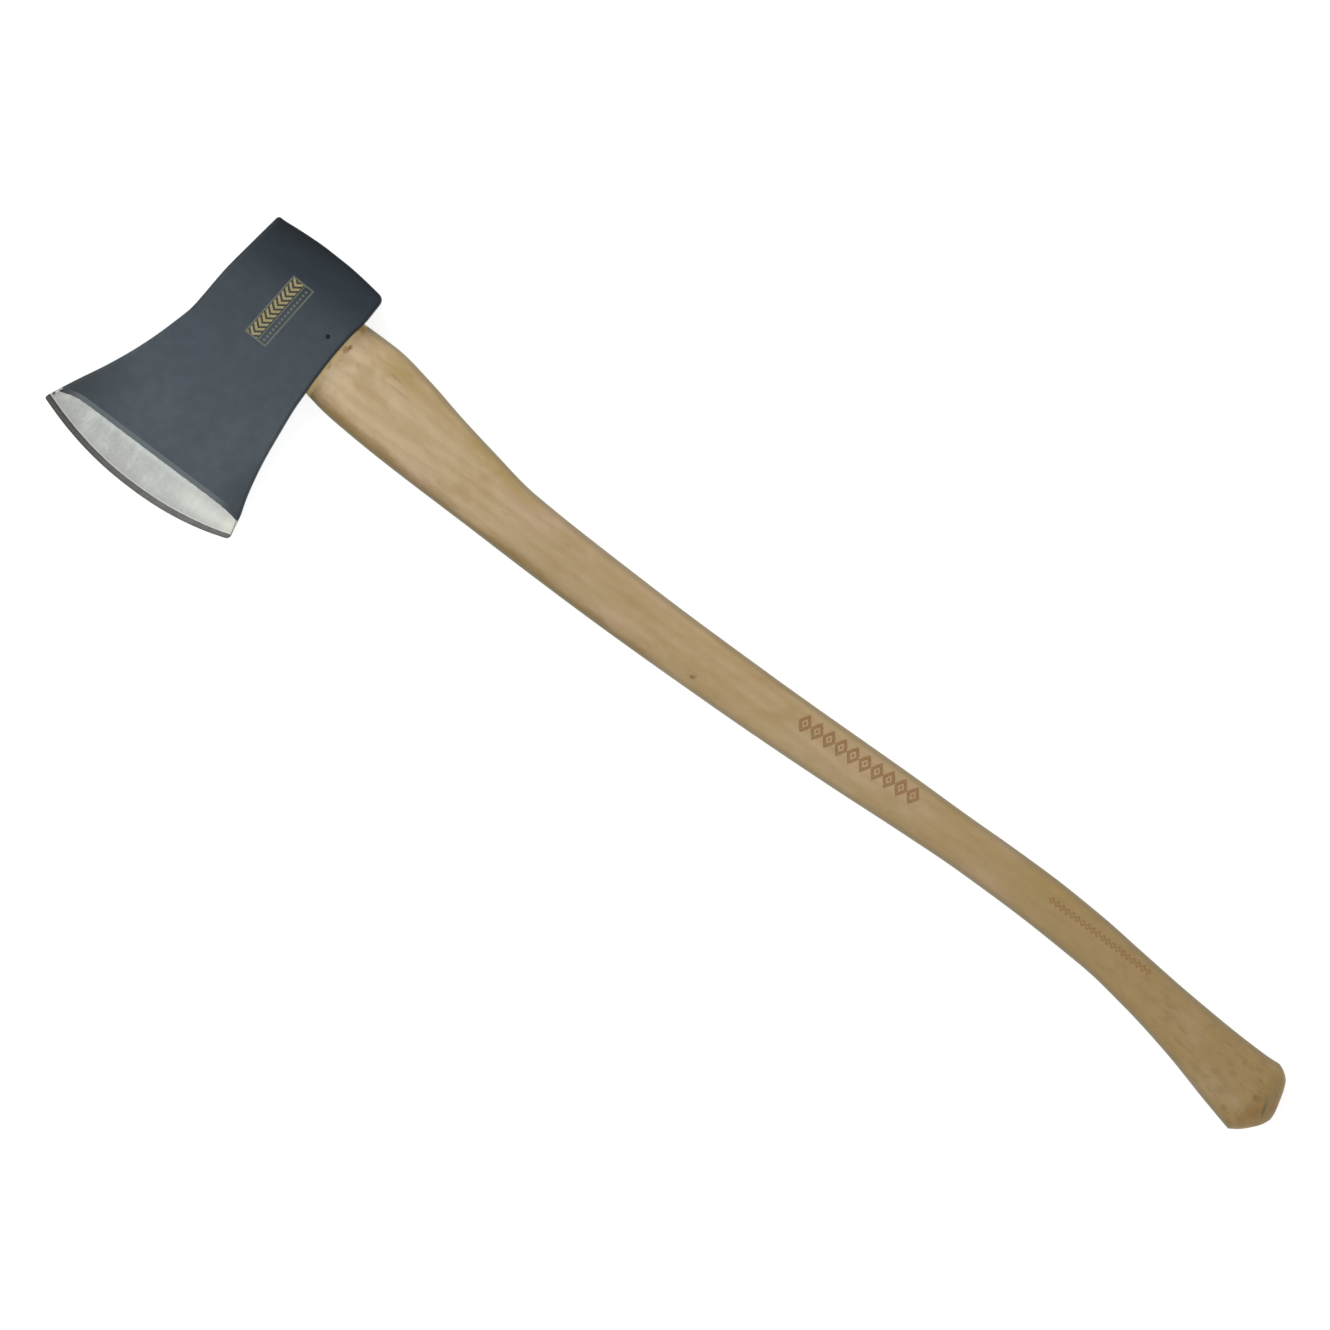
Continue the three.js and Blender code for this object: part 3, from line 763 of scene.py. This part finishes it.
def painted_steel():
    """Satin slate paint; past its edge the bare ground bevel, and along the cutting edge a honed strip."""
    s = Shader("painted_forging")
    here = s.here()
    x, y, _ = s.split(here)
    past = s.stored("past_paint")
    from_edge = s.stored("from_edge")
    depth = s.stored("corner_depth")

    wander = s.minus(s.noise(here, 0.35, 3, 0.6), 0.5)
    ground = s.ease(s.math("MULTIPLY_ADD", wander, 0.9, past), -0.1, 0.12)
    honed_width = s.math("ADD", s.span(x, 80, 135, 4.15, 5.1), s.span(x, 10, 60, 0.6, 0))
    from_honed = s.minus(from_edge, honed_width)
    from_honed = s.math("MULTIPLY_ADD", wander, 0.6, from_honed)
    honed = s.ease(from_honed, 0.15, -0.15)

    cloud = s.noise(here, 0.035, 3, 0.55)
    speck = s.ease(s.noise(here, 0.9, 2, 0.5), 0.68, 0.76)
    # Painted shade: the paint runs much darker towards the poll, where its faces turn from the light.
    paint = s.stops(s.span(s.math("MULTIPLY_ADD", x, -0.14, y), -66, 120, 0, 1), [
        (0.0, srgb(11, 18, 26)), (0.13, srgb(31, 42, 51)), (0.32, srgb(56, 64, 72)),
        (0.55, srgb(66, 74, 82)), (0.85, srgb(73, 81, 88)), (1.0, srgb(73, 81, 88)),
    ])
    greenish = s.both(s.span(cloud, 0.35, 0.7, 0, 0.3), s.ease(y, -50, 10))
    paint = s.mix(greenish, paint, srgb(58, 70, 70))
    paint = s.mix(s.both(speck, 0.25), paint, srgb(48, 50, 56))
    off_middle = s.apart(x, 52)
    # Painted shade: the blade's toe and heel corners are darker, where the cheek curves from the light.
    blade_corner_shade = s.both(s.ease(off_middle, 30, 78), s.ease(y, 62, 112))
    paint = s.mix(s.both(blade_corner_shade, 0.85), paint, srgb(44, 51, 56))
    blotch = s.noise(here, 0.11, 3, 0.6)
    paint = s.mix(s.span(blotch, 0.38, 0.62, 0, 0.55), paint, (0.78, 0.80, 0.80), "MULTIPLY")
    # A paler band of paint on the ground facet by the paint's edge: partly thinner paint, partly a painted
    # highlight of the facet.
    shoulder_thin_paint_and_sheen = s.both(s.band(past, -3.2, 0.5, 0.5), s.band(x, 8, 116, 16))
    paint = s.mix(s.both(shoulder_thin_paint_and_sheen, 0.5), paint, srgb(112, 118, 118))
    # Painted shade: the paint darkens along every arris and corner of the head.
    arris = s.math("MULTIPLY_ADD", wander, 1.5, depth)
    paint = s.mix(s.both(s.ease(arris, 2.1, 0.3), 0.65), paint, srgb(18, 20, 22))
    paint = panel(s, here, paint)

    brushed = s.noise(s.stretch(here, 0.5, 0.05, 0.5), 1.6, 4, 0.6)
    mottle = s.noise(s.stretch(here, 1.0, 0.55, 1.0), 0.07, 4, 0.62, 0.5)
    fine = s.noise(here, 0.5, 3, 0.6)
    # Painted reflection: the bare bevel is paler towards the heel.
    steel = s.mix(s.span(x, 5, 55, 0, 1), (0.455, 0.47, 0.44), (0.415, 0.425, 0.405))
    steel = s.mix(s.both(s.ease(mottle, 0.42, 0.62), 0.7), steel, (0.35, 0.35, 0.33))
    steel = s.mix(s.both(s.ease(mottle, 0.5, 0.32), 0.55), steel, (0.58, 0.59, 0.55))
    steel = s.mix(s.span(brushed, 0.35, 0.7, 0, 0.35), steel, (0.33, 0.33, 0.31))
    steel = s.mix(s.span(fine, 0.4, 0.7, 0, 0.2), steel, (0.60, 0.61, 0.57))
    by_paint = s.both(s.band(past, 0.2, 1.6, 3.4), s.band(x, 30, 96, 18), s.span(mottle, 0.4, 0.6, 1, 0.4))
    steel = s.mix(s.both(by_paint, 0.42), steel, (0.56, 0.62, 0.57))
    # Painted highlights: two pale patches on the bevel by the heel, the second yellowish.
    steel = s.mix(s.both(s.spot(here, (8, 134), (20, 5), 0.9), 0.3), steel, (0.72, 0.72, 0.66))
    steel = s.mix(s.both(s.spot(here, (-14, 133), (5, 6), 0.9), 0.5), steel, (0.72, 0.69, 0.58))
    steel = s.mix(s.both(s.ease(from_honed, 7.5, 1.0), 0.32), steel, (0.30, 0.30, 0.285))
    steel = s.mix(s.both(s.band(from_honed, 0.15, 0.6, 0.4), 0.35), steel, (0.62, 0.62, 0.59))
    # Painted shade: the bare bevel darkens along the head's underside and top.
    steel = s.mix(s.both(s.ease(s.stored("from_end"), 1.1, 0.2), 0.65), steel, (0.14, 0.14, 0.13))
    # Painted dark reflection: the honed strip is near black, darker towards the toe, with a paler band along
    # it.
    dark = s.mix(s.span(fine, 0.3, 0.7, 0, 1), (0.10, 0.10, 0.09), (0.15, 0.15, 0.137))
    dark = s.mix(s.both(s.ease(x, 30, 115), 0.52), dark, (0.03, 0.03, 0.027))
    dark = s.mix(s.both(s.band(from_edge, 1.5, 2.7, 1.1), 0.3), dark, (0.19, 0.19, 0.175))
    steel = s.mix(honed, steel, dark)
    steel = s.mix(s.both(s.spot(here, (133.4, 134.6), (1.0, 1.1), 0.5), 0.9), steel, (0.03, 0.03, 0.03))

    colour = s.mix(ground, paint, steel)
    rough_paint = s.span(cloud, 0.3, 0.7, 0.40, 0.48)
    rough_paint = s.shift(s.ease(depth, 2.5, 0.5), rough_paint, 0.62)
    rough_steel = s.span(mottle, 0.35, 0.65, 0.46, 0.36)
    roughness = s.shift(ground, rough_paint, rough_steel)
    peel = s.noise(here, 0.8, 2, 0.5)
    relief = s.shift(ground, s.both(peel, 0.5), s.both(brushed, 0.9))
    step = s.both(ground, -1.5)
    normal = s.bump(s.math("ADD", relief, step), 0.05)
    return s.finish(
        Base_Color=colour, Metallic=ground, Roughness=roughness, Normal=normal, Specular_IOR_Level=0.25,
    )


PANEL = {"x": (41, 58), "y": (-26, 22.7), "divider": 47.7, "line": 0.55, "tilt": 0.053}


def panel(s, here, under):
    """A printed gold panel of plain ornament on the upper cheek: chevrons over a row of dots."""
    level_x, y, z = s.split(here)
    (low, high), (start, end) = PANEL["x"], PANEL["y"]
    line, divider = PANEL["line"], PANEL["divider"]
    x = s.math("MULTIPLY_ADD", y, -PANEL["tilt"], level_x)
    upper_side = s.ease(z, 8, 9)
    middle = s.apart(y, (start + end) / 2)
    centre = s.apart(x, (low + high) / 2)
    inside = s.both(
        s.ease(middle, (end - start) / 2 + line, (end - start) / 2),
        s.ease(centre, (high - low) / 2 + line, (high - low) / 2),
    )
    core = s.both(
        s.ease(middle, (end - start) / 2 - line, (end - start) / 2 - 2 * line),
        s.ease(centre, (high - low) / 2 - line, (high - low) / 2 - 2 * line),
    )
    border = s.minus(inside, core)
    split = s.both(core, s.band(x, divider - line / 2, divider + line / 2, 0.2))
    row_middle = (divider + high) / 2
    off_middle = s.apart(x, row_middle)
    chevron = s.math("FRACT", s.math("DIVIDE", s.math("MULTIPLY_ADD", off_middle, 0.8, y), 3.9))
    chevrons = s.both(s.band(chevron, 0.2, 0.62, 0.12), s.band(x, divider + 1.3, high - 1.3, 0.3))
    dot_x = s.minus(x, (low + divider) / 2)
    dot_y = s.math("MULTIPLY", s.minus(s.math("FRACT", s.math("DIVIDE", y, 3.0)), 0.5), 3.0)
    dot = s.ease(s.length(dot_x, dot_y), 1.15, 0.75)
    dots = s.both(dot, s.band(middle, -1, (end - start) / 2 - 1.6, 0.2))
    worn = s.span(s.noise(here, 1.3, 3, 0.6), 0.3, 0.65, 0.55, 1)
    shown = s.both(upper_side, worn)
    under = s.mix(s.both(upper_side, core, s.band(x, divider, high, 0.1), 0.55), under, srgb(46, 42, 30))
    under = s.mix(s.both(shown, s.math("MAXIMUM", border, split), 0.8), under, srgb(112, 114, 100))
    under = s.mix(s.both(shown, core, dots, 0.6), under, srgb(124, 124, 108))
    return s.mix(s.both(shown, core, chevrons, 0.9), under, srgb(168, 156, 108))


def wood_field(s, here):
    """Growth rings, fibres and pores of one log, as numbers: ring (0 to 1 across a year), fibre, pore."""
    slow = s.stretch(here, 0.35, 1, 1)
    sway = s.minus(s.noise(slow, 0.02, 2, 0.5), 0.5)
    x, y, z = s.split(here)
    pith_y = s.math("MULTIPLY_ADD", x, 0.035, -64)
    off_y = s.minus(s.math("MULTIPLY_ADD", sway, 14, y), pith_y)
    off_z = s.math("ADD", z, 46)
    radius = s.length(off_y, off_z)
    ring = s.math("FRACT", s.math("DIVIDE", radius, 7.4))
    fibre = s.noise(s.stretch(here, 0.035, 1, 1), 1.5, 5, 0.62)
    pore = s.noise(s.stretch(here, 0.16, 2.4, 2.4), 1.6, 2, 0.5)
    return ring, fibre, pore


def ring_tone(s, ring):
    """Dark and porous at the start of a year's ring, paler through it."""
    return s.math("MAXIMUM", s.ease(ring, 0.55, 0.0), s.ease(ring, 0.72, 1.0))


def hickory():
    """Sanded, oiled hickory, paler by the head, with its stains, marks and burnt ornament."""
    s = Shader("oiled_hickory")
    here = s.here()
    x, _, _ = s.split(here)
    across = s.stored("across")
    side = s.stored("from_side")
    below = s.stored("below_head")
    ring, fibre, pore = wood_field(s, here)
    early = ring_tone(s, ring)

    colour = s.stops(s.span(x, -800, 0, 0, 1), [
        (0.0, srgb(153, 128, 81)), (0.25, srgb(158, 133, 88)), (0.35, srgb(166, 141, 98)),
        (0.62, srgb(176, 151, 111)), (0.75, srgb(172, 147, 108)), (0.85, srgb(185, 161, 124)),
        (1.0, srgb(196, 173, 139)),
    ])
    place = s.vector("ADD", s.stretch(here, 0.5, 1, 1), (60.0, 0.0, 35.0))
    patch = s.noise(place, 0.034, 3, 0.55, 0.4)
    pink = s.both(s.ease(patch, 0.5, 0.68), s.span(x, -520, -200, 0.25, 0.6))
    colour = s.mix(pink, colour, srgb(190, 162, 138))
    colour = s.mix(s.both(s.ease(patch, 0.5, 0.3), 0.5), colour, srgb(158, 130, 78))
    mottle = s.noise(s.stretch(here, 0.6, 1, 1), 0.16, 3, 0.6)
    colour = s.mix(s.span(mottle, 0.3, 0.7, 0, 0.35), colour, (0.80, 0.79, 0.78), "MULTIPLY")
    cut_end = s.math("MAXIMUM", s.ease(x, 70, 84), s.both(s.ease(x, -785, -792), 0.5))
    colour = s.mix(s.both(early, 0.13), colour, srgb(146, 117, 72))
    end_rings = ring_tone(s, s.math("FRACT", s.both(ring, 3.0)))
    colour = s.mix(s.both(end_rings, cut_end, 0.45), colour, srgb(126, 98, 60))
    end_pore = s.ease(s.noise(here, 1.5, 2, 0.5), 0.6, 0.7)
    colour = s.mix(s.both(end_pore, cut_end, 0.5), colour, srgb(120, 92, 56))
    colour = s.mix(s.span(fibre, 0.36, 0.68, 0, 0.36), colour, (0.80, 0.77, 0.72), "MULTIPLY")
    pores = s.both(s.ease(pore, 0.63, 0.74), s.span(early, 0, 1, 0.25, 0.8))
    colour = s.mix(s.both(pores, 0.5), colour, srgb(112, 86, 54))

    broken = s.noise(s.stretch(here, 0.4, 1, 1), 0.09, 3, 0.6)
    golden = s.both(s.ease(across, 0.36, 0.1), s.band(x, -150, -12, 40), s.span(broken, 0.35, 0.65, 0.3, 1))
    colour = s.mix(s.both(golden, 0.8), colour, srgb(160, 134, 80))
    # A darker golden band along the belly near the head: partly the wood's golden tint, partly painted shade
    # on that side.
    band_place = s.math("MULTIPLY_ADD", s.minus(broken, 0.5), 0.25, across)
    belly_shade_band = s.both(s.ease(band_place, 0.81, 0.99), s.band(x, -260, -10, 60))
    colour = s.mix(s.both(belly_shade_band, 0.85), colour, srgb(130, 102, 50))
    # Painted shade: the wood darkens towards both of its sides.
    rim = s.ease(s.math("MULTIPLY_ADD", s.minus(fibre, 0.5), 3, side), 4.8, 0.4)
    colour = s.mix(s.both(rim, 0.54), colour, srgb(98, 92, 66))
    colour = stains(s, here, below, colour)
    colour = ornaments(s, here, colour)

    roughness = s.span(s.math("ADD", fibre, s.both(patch, 0.5)), 0.5, 1.0, 0.40, 0.56)
    relief = s.minus(s.both(fibre, 0.8), s.both(pores, 1.2))
    relief = s.minus(relief, s.both(early, 0.25))
    normal = s.bump(relief, 0.07)
    return s.finish(Base_Color=colour, Roughness=roughness, Normal=normal, Specular_IOR_Level=0.35)


# Marks on the wood: centre, half axes, share and tint.
ENTRY_MARKS = (
    ((-0.9, -9.2), (1.9, 2.6), 0.7, (138, 108, 52)),
    ((-2.6, -11.4), (1.3, 2.6), 0.9, (128, 92, 30)),
    ((-1.7, -26.8), (2, 2.3), 0.7, (160, 118, 52)),
    ((1, -25.6), (0.9, 3.4), 0.75, (128, 88, 36)),
    ((-13.5, -6.2), (0.8, 0.8), 0.5, (140, 116, 72)),
    ((0.6, 6.4), (0.9, 2.4), 0.5, (138, 116, 66)),
)
HANDLE_MARKS = (
    ((-39, -15), (4.5, 0.9), 0.4, (124, 96, 52)),
    ((-46, -9), (9, 0.9), 0.2, (134, 106, 64)),
    ((-152, 10), (3, 0.8), 0.22, (128, 102, 64)),
    ((-198, 1), (2.6, 1.4), 0.22, (128, 102, 64)),
    ((-317.5, 18), (1.5, 1.2), 0.7, (96, 70, 38)),
    ((-319, 16.4), (0.8, 1.4), 0.4, (110, 84, 48)),
    ((-763.7, 0.4), (3, 2), 0.4, (120, 94, 54)),
    ((-765.6, -10.3), (1.6, 1.6), 0.4, (120, 94, 54)),
    ((-776.2, -12.8), (2.4, 1.2), 0.4, (120, 100, 56)),
    ((-781.4, -7.6), (2.2, 1.2), 0.4, (120, 96, 54)),
    ((-773.7, 21.8), (2.4, 1.6), 0.4, (120, 90, 54)),
    ((-781.8, 27.9), (2.6, 2.2), 0.5, (110, 90, 44)),
    ((-786.4, 3.5), (3, 2.2), 0.55, (112, 86, 42)),
    # Painted shade: this orange-brown mark lies where the foot's dome turns from the light.
    ((-791.5, 13), (5, 9), 0.45, (158, 112, 50)),
    ((-799, 1.6), (2.2, 5), 0.45, (146, 98, 54)),
)


def marks(s, here, side, under, blur, spots):
    """Lays a row of spots on a colour, on one side of the wood."""
    for centre, size, share, tint in spots:
        under = s.mix(s.both(s.spot(here, centre, size, blur), side, share), under, srgb(*tint))
    return under


def stains(s, here, below, under):
    """Marks, dust, painted light and a painted shadow line at the entry, then marks down to a dirty foot."""
    x, y, z = s.split(here)
    top_side = s.ease(z, 0, 3)
    wander = s.minus(s.noise(here, 0.45, 3, 0.6), 0.5)
    moved = s.vector("ADD", here, s.join(s.both(wander, 3.5), s.both(wander, -3.0), 0.0))
    # Painted light: the wood is painted paler up to the head, against the shade there.
    lifted = s.ease(s.math("MULTIPLY_ADD", wander, 2, below), 5, 0)
    under = s.mix(s.both(lifted, 0.8), under, srgb(236, 206, 142))
    under = marks(s, moved, top_side, under, 0.5, ENTRY_MARKS)
    # Painted shadow: a dark line in the joint where the wood goes into the head.
    line = s.ease(s.math("MULTIPLY_ADD", wander, 0.5, below), 0.5, 0.15)
    under = s.mix(s.both(line, 0.6), under, srgb(52, 38, 26))
    dust = s.both(s.ease(s.noise(here, 0.5, 1, 0.5), 0.64, 0.74), s.ease(below, 30, 8), top_side)
    under = s.mix(s.both(dust, 0.45), under, srgb(132, 110, 74))
    under = marks(s, moved, top_side, under, 0.7, HANDLE_MARKS)
    leaned = s.vector("ADD", here, s.join(s.math("MULTIPLY", s.minus(y, 6.5), 0.33), 0.0, 0.0))
    dash = s.spot(leaned, (-795.4, 6.5), (1.1, 5.0), 0.6)
    under = s.mix(s.both(dash, top_side, 0.75), under, srgb(88, 86, 62))
    handled = s.noise(s.stretch(here, 0.5, 1, 1), 0.2, 3, 0.65)
    handled = s.both(s.ease(handled, 0.46, 0.7), s.ease(x, -560, -720))
    return s.mix(s.both(handled, 0.36), under, srgb(122, 96, 56))


BURNT_ROW = {"start": (-391, -4.3), "end": (-487, -12.2), "height": 13.6, "pitch": 9.6, "fullness": 1.1}
SMALL_ROW = {"start": (-596, -14.9), "end": (-680, -17.6), "height": 5.4, "pitch": 4.2, "fullness": 1.1}


def along_row(s, here, row):
    """How far along a row of ornament a point is, and how far to its side, in millimetres."""
    x, y, _ = s.split(here)
    (x0, y0), (x1, y1) = row["start"], row["end"]
    length = math.hypot(x1 - x0, y1 - y0)
    dx, dy = (x1 - x0) / length, (y1 - y0) / length
    off_x, off_y = s.minus(x, x0), s.minus(y, y0)
    along = s.math("ADD", s.both(off_x, dx), s.both(off_y, dy))
    aside = s.minus(s.both(off_y, dx), s.both(off_x, dy))
    return along, aside, length


def lozenges(s, here, row, ring, dot):
    """A row of lozenges, each a ring with a dot in it: ring is how thick and dot how large, as shares."""
    along, aside, length = along_row(s, here, row)
    cell = s.minus(s.math("FRACT", s.math("DIVIDE", along, row["pitch"])), 0.5)
    across = s.math("POWER", s.math("ABSOLUTE", s.both(cell, 2.0)), row["fullness"])
    up = s.math("POWER", s.math("ABSOLUTE", s.math("DIVIDE", aside, row["height"] / 2)), row["fullness"])
    reach = s.math("POWER", s.math("ADD", across, up), 1 / row["fullness"])
    shape = s.math("MAXIMUM", s.band(reach, 1 - ring, 0.98, 0.07), s.ease(reach, dot + 0.07, dot))
    return s.both(shape, s.band(along, 0.2, length - 0.2, 0.3))


def ornaments(s, here, under):
    """Burnt rows of plain lozenges, a large one on the grip and a small faint one towards the foot."""
    _, _, z = s.split(here)
    top_side = s.ease(z, 4, 6)
    scorch = s.span(s.noise(here, 0.6, 3, 0.6), 0.3, 0.7, 0.7, 1)
    large = s.both(lozenges(s, here, BURNT_ROW, 0.5, 0.2), scorch, top_side)
    under = s.mix(s.both(large, 0.9), under, srgb(130, 93, 50))
    small = s.both(lozenges(s, here, SMALL_ROW, 0.6, 0.0), scorch, top_side)
    return s.mix(s.both(small, 0.75), under, srgb(132, 94, 52))


def wedge_wood():
    """Pale sawn wood, its end crushed a little by the hammer and its fibres running down the eye."""
    s = Shader("sawn_wedge_wood")
    here = s.here()
    _, fibre, pore = wood_field(s, s.vector("ADD", here, (0.0, 37.0, 11.0)))
    grain = s.noise(s.stretch(here, 0.05, 0.08, 1.8), 1.1, 4, 0.6)
    colour = s.mix(s.ease(grain, 0.3, 0.7), srgb(200, 177, 140), srgb(172, 146, 108))
    colour = s.mix(s.span(fibre, 0.4, 0.7, 0, 0.5), colour, (0.78, 0.74, 0.68), "MULTIPLY")
    colour = s.mix(s.both(s.ease(pore, 0.62, 0.75), 0.5), colour, srgb(120, 92, 60))
    roughness = s.span(fibre, 0.3, 0.7, 0.6, 0.8)
    return s.finish(Base_Color=colour, Roughness=roughness, Normal=s.bump(grain, 0.2))


def wedge_steel():
    """Mill-finished steel, hammered at the top, with a thin brown bloom of rust in places."""
    s = Shader("hammered_steel")
    here = s.here()
    dents = s.noise(here, 0.55, 2, 0.5)
    scale = s.noise(here, 0.25, 4, 0.6)
    colour = s.mix(s.ease(scale, 0.35, 0.65), (0.50, 0.50, 0.50), (0.36, 0.35, 0.34))
    rust = s.both(s.ease(s.noise(here, 0.4, 5, 0.65), 0.56, 0.68), 0.6)
    colour = s.mix(rust, colour, srgb(112, 72, 44))
    metal = s.shift(rust, 1.0, 0.25)
    roughness = s.span(scale, 0.3, 0.7, 0.32, 0.52)
    return s.finish(Base_Color=colour, Metallic=metal, Roughness=roughness, Normal=s.bump(dents, 0.35))


def pin_steel():
    """Dull steel painted near black for the shade in its recess, with paint and dirt round its end."""
    s = Shader("dull_pin_steel")
    here = s.here()
    grime_and_shade = s.noise(here, 0.9, 3, 0.6)
    # Painted shade: both colours are near black, for the shade in the pin's recess.
    colour = s.mix(s.ease(grime_and_shade, 0.35, 0.6), (0.030, 0.031, 0.030), (0.016, 0.017, 0.018))
    roughness = s.span(grime_and_shade, 0.3, 0.7, 0.6, 0.8)
    metal = s.span(grime_and_shade, 0.4, 0.6, 0.3, 0.1)
    normal = s.bump(grime_and_shade, 0.15)
    return s.finish(
        Base_Color=colour, Metallic=metal, Roughness=roughness, Normal=normal, Specular_IOR_Level=0.2,
    )


# ---- the pieces

finish(make_head(), painted_steel(), "axe_head")
finish(make_handle(), hickory(), "handle")
kerf_wedge = make_wedge("kerf_wedge", WOODEN_WEDGE)
cut(kerf_wedge, wedge_cutter(FRONT_WEDGE), wedge_cutter(REAR_WEDGE))
finish(kerf_wedge, wedge_wood(), "wooden_wedge")
steel = wedge_steel()
for part, wedge in (("front", FRONT_WEDGE), ("rear", REAR_WEDGE)):
    bar = make_wedge(f"steel_wedge_{part}_end", wedge, crown=0.5, corner=0.5)
    finish(bar, steel, f"steel_wedge_{part}")
finish(make_pin(), pin_steel(), "cross_pin")

# ---- floor, light and camera

FLOOR_HALF = 40.0
VIEW_WIDTH = 0.8869  # what the picture spans, level with the middle of the axe
VIEW_CENTRE = (-298.4, 22.9)  # in the eye's frame, in millimetres
VIEW_ROLL = 218.5  # degrees: the handle runs from the upper left down to the lower right
LENS = 800
SENSOR = 36


def make_floor():
    """A plain pale floor. Most of its white is its own light, which keeps the axe's shadow faint."""
    steps = np.linspace(-FLOOR_HALF, FLOOR_HALF, 21)
    count = len(steps)
    faces = [
        (i * count + j, (i + 1) * count + j, (i + 1) * count + j + 1, i * count + j + 1)
        for i in range(count - 1) for j in range(count - 1)
    ]
    mesh = bpy.data.meshes.new("floor")
    mesh.from_pydata([(x, y, 0.0) for x in steps for y in steps], [], faces)
    floor = bpy.data.objects.new("floor", mesh)
    bpy.context.scene.collection.objects.link(floor)
    s = Shader("pale_floor")
    tone = s.noise(s.here(), 0.002, 2, 0.5)
    colour = s.mix(s.span(tone, 0.3, 0.7, 0, 1), (0.33, 0.33, 0.33), (0.34, 0.34, 0.34))
    glow = {"Emission_Color": (1, 1, 1), "Emission_Strength": 0.8}
    mesh.materials.append(s.finish(Base_Color=colour, Roughness=0.9, **glow))


def soft_light(name, direction, distance, size, power, tint=(1, 1, 1)):
    """An area light that faces the middle of the axe from a direction, at a distance in metres."""
    light = bpy.data.lights.new(name, "AREA")
    light.shape = "RECTANGLE"
    light.size, light.size_y = size
    light.energy = power
    light.color = tint
    lamp = bpy.data.objects.new(name, light)
    bpy.context.scene.collection.objects.link(lamp)
    away = Vector(direction).normalized()
    lamp.location = away * distance
    lamp.rotation_euler = away.to_track_quat("Z", "X").to_euler()
    lamp.visible_camera = False


def make_world():
    world = bpy.data.worlds.new("studio")
    world.use_nodes = True
    background = world.node_tree.nodes["Background"]
    background.inputs["Color"].default_value = (0.95, 0.97, 1.0, 1)
    background.inputs["Strength"].default_value = 0.65
    bpy.context.scene.world = world


def make_camera():
    camera = bpy.data.cameras.new("camera")
    camera.lens = LENS
    camera.sensor_width = SENSOR
    camera.clip_end = 120
    holder = bpy.data.objects.new("camera", camera)
    bpy.context.scene.collection.objects.link(holder)
    target = to_row((*VIEW_CENTRE, 0))
    holder.location = Vector(target) + Vector((0, 0, VIEW_WIDTH * LENS / SENSOR))
    holder.rotation_euler = (0, 0, math.radians(VIEW_ROLL))
    bpy.context.scene.camera = holder


make_floor()
make_world()
soft_light("softbox", (0.0, 0.31, 1), 2.4, (2.4, 1.0), 10)
soft_light("key", (1.0, -0.35, 0.95), 4.5, (3.6, 3.6), 100, (1, 0.985, 0.96))
make_camera()
bpy.context.scene.view_settings.view_transform = "Standard"
